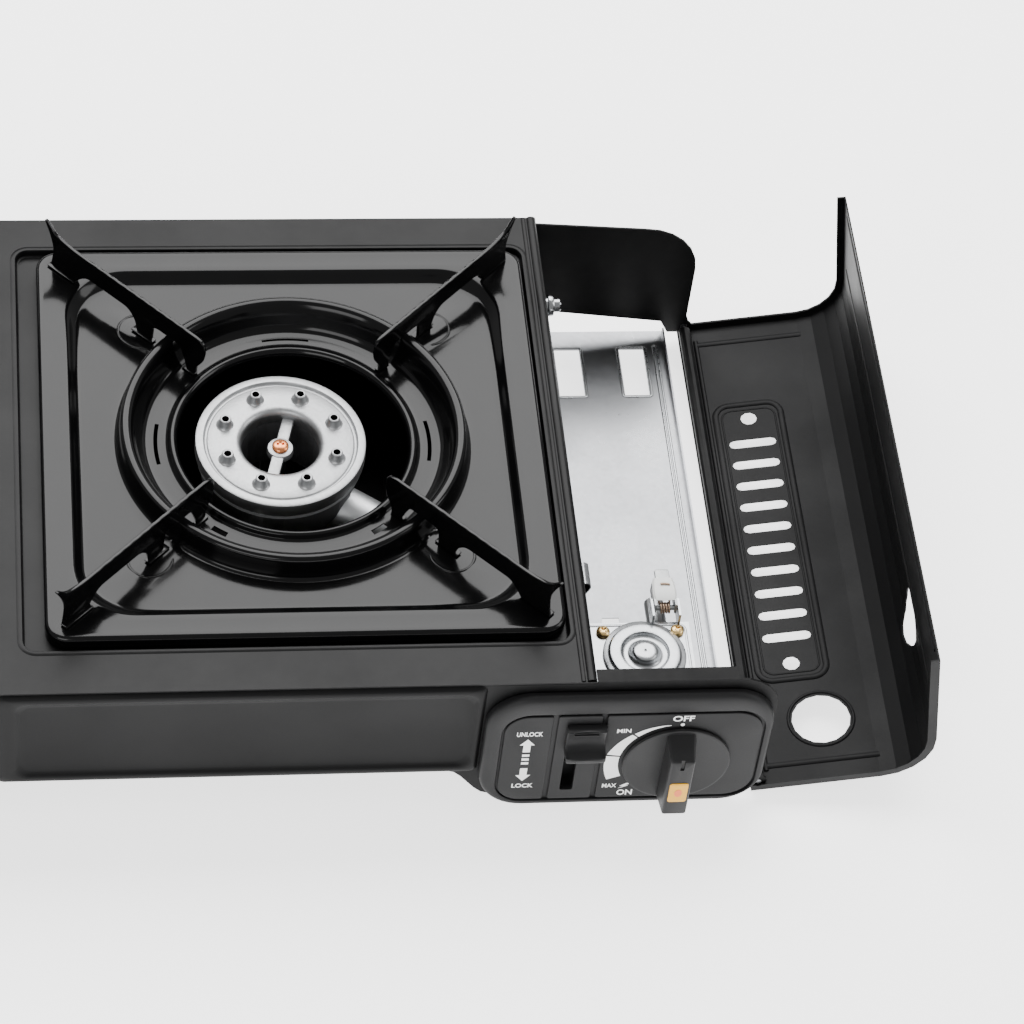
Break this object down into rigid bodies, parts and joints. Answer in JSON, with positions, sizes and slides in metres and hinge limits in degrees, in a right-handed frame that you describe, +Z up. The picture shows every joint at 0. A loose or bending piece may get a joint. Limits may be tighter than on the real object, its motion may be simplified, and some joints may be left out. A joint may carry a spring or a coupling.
{
  "type": "camping stove",
  "caption": "Low twin-burner camping stove with lift-off drip pans and pot trivets, cartridge bays under side lids that swing out, front knobs and cartridge lock levers.",
  "frame": {"origin": "bottom centre of the bounding box with both lids open, on the plane the feet stand on", "axes": "+X to the right, along the stove's length, +Y to the back, +Z up; the knobs are on the -Y side"},
  "size_m": [0.8378, 0.2988, 0.119],
  "materials": {
    "body_paint": "satin black paint",
    "enamel": "gloss black enamel",
    "cast_aluminium": "fine cast",
    "cast_iron": "dark, fine cast",
    "zinc_steel": "bright zinc-coated sheet",
    "spring_steel": "tempered brown wire",
    "brass": "polished",
    "copper": "copper-plated",
    "ceramic": "glazed white ceramic",
    "black_plastic": "fine-textured matte",
    "rubber": "matte",
    "lead_sleeve": "yellow-green silicone sleeve"
  },
  "bodies": {
    "stove_body": {"base_shell": "body_paint", "top_plate": "body_paint", "foot_front_right": "rubber", "foot_front_left": "rubber", "foot_back_right": "rubber", "foot_back_left": "rubber", "burner_head_right": "cast_aluminium", "burner_head_left": "cast_aluminium", "burner_screw_right": "copper", "burner_screw_left": "copper", "burner_cup_right": "cast_iron", "burner_cup_left": "cast_iron", "mixing_tube_right": "cast_aluminium", "mixing_tube_left": "cast_aluminium", "gas_jet_right": "brass", "gas_jet_left": "brass", "spark_electrode_right": "ceramic", "spark_electrode_left": "ceramic", "spark_igniter_right": "black_plastic", "spark_igniter_left": "black_plastic", "ignition_lead_right": "lead_sleeve", "ignition_lead_left": "lead_sleeve", "cartridge_tray_right": "zinc_steel", "cartridge_tray_left": "zinc_steel", "regulator_body_right": "cast_aluminium", "regulator_body_left": "cast_aluminium", "regulator_cap_right": "zinc_steel", "regulator_cap_left": "zinc_steel", "regulator_plate_right": "zinc_steel", "regulator_plate_left": "zinc_steel", "plate_screw_outer_right": "brass", "plate_screw_outer_left": "brass", "plate_screw_inner_right": "brass", "plate_screw_inner_left": "brass", "hinge_rod_right": "zinc_steel", "hinge_rod_left": "zinc_steel", "control_panel_right": "black_plastic", "control_panel_left": "black_plastic"},
    "pan_right": {"drip_pan_right": "enamel", "trivet_blade_back_outer_right": "enamel", "trivet_blade_back_inner_right": "enamel", "trivet_blade_front_inner_right": "enamel", "trivet_blade_front_outer_right": "enamel"},
    "pan_left": {"drip_pan_left": "enamel", "trivet_blade_back_outer_left": "enamel", "trivet_blade_back_inner_left": "enamel", "trivet_blade_front_inner_left": "enamel", "trivet_blade_front_outer_left": "enamel"},
    "lid_right": {"lid_right": "body_paint"},
    "lid_left": {"lid_left": "body_paint"},
    "knob_right": {"knob_right": "black_plastic", "valve_stem_right": "brass"},
    "knob_left": {"knob_left": "black_plastic", "valve_stem_left": "brass"},
    "lock_lever_right": {"lock_lever_right": "black_plastic"},
    "lock_lever_left": {"lock_lever_left": "black_plastic"},
    "retainer_right": {"retainer_lever_right": "zinc_steel", "retainer_spring_right": "spring_steel"},
    "retainer_left": {"retainer_lever_left": "zinc_steel", "retainer_spring_left": "spring_steel"}
  },
  "joints": [
    {"name": "lid_hinge_right", "type": "hinge", "parent": "stove_body", "child": "lid_right", "pos_m": [0.342, 0.00978, 0.01], "axis": [0, -1, 0], "range_deg": [0, 81.3]},
    {"name": "knob_turn_right", "type": "hinge", "parent": "stove_body", "child": "knob_right", "pos_m": [0.3, -0.13502, 0.037], "axis": [0, -0.9994, 0.0349], "range_deg": [0, 120]},
    {"name": "lock_slide_right", "type": "slide", "parent": "stove_body", "child": "lock_lever_right", "axis": [0, -0.0349, -0.9994], "range_m": [0, 0.0223]},
    {"name": "retainer_pivot_right", "type": "hinge", "parent": "stove_body", "child": "retainer_right", "pos_m": [0.3025, -0.05972, 0.0505], "axis": [-1, 0, 0], "range_deg": [0, 19.9]},
    {"name": "pan_lift_right", "type": "slide", "parent": "stove_body", "child": "pan_right", "axis": [0, 0, 1], "range_m": [0, 0.06]},
    {"name": "lid_hinge_left", "type": "hinge", "parent": "stove_body", "child": "lid_left", "pos_m": [-0.342, 0.00978, 0.01], "axis": [0, 1, 0], "range_deg": [0, 81.3]},
    {"name": "knob_turn_left", "type": "hinge", "parent": "stove_body", "child": "knob_left", "pos_m": [-0.3, -0.13502, 0.037], "axis": [0, 0.9994, -0.0349], "range_deg": [0, 120]},
    {"name": "lock_slide_left", "type": "slide", "parent": "stove_body", "child": "lock_lever_left", "axis": [0, -0.0349, -0.9994], "range_m": [0, 0.0223]},
    {"name": "retainer_pivot_left", "type": "hinge", "parent": "stove_body", "child": "retainer_left", "pos_m": [-0.3025, -0.05972, 0.0505], "axis": [-1, 0, 0], "range_deg": [0, 19.9]},
    {"name": "pan_lift_left", "type": "slide", "parent": "stove_body", "child": "pan_left", "axis": [0, 0, 1], "range_m": [0, 0.06]}
  ],
  "couplings": [
    {"joint": "lock_slide_right", "follows": "retainer_pivot_right", "m_per_rad": 0.0633},
    {"joint": "lock_slide_left", "follows": "retainer_pivot_left", "m_per_rad": 0.0633}
  ]
}
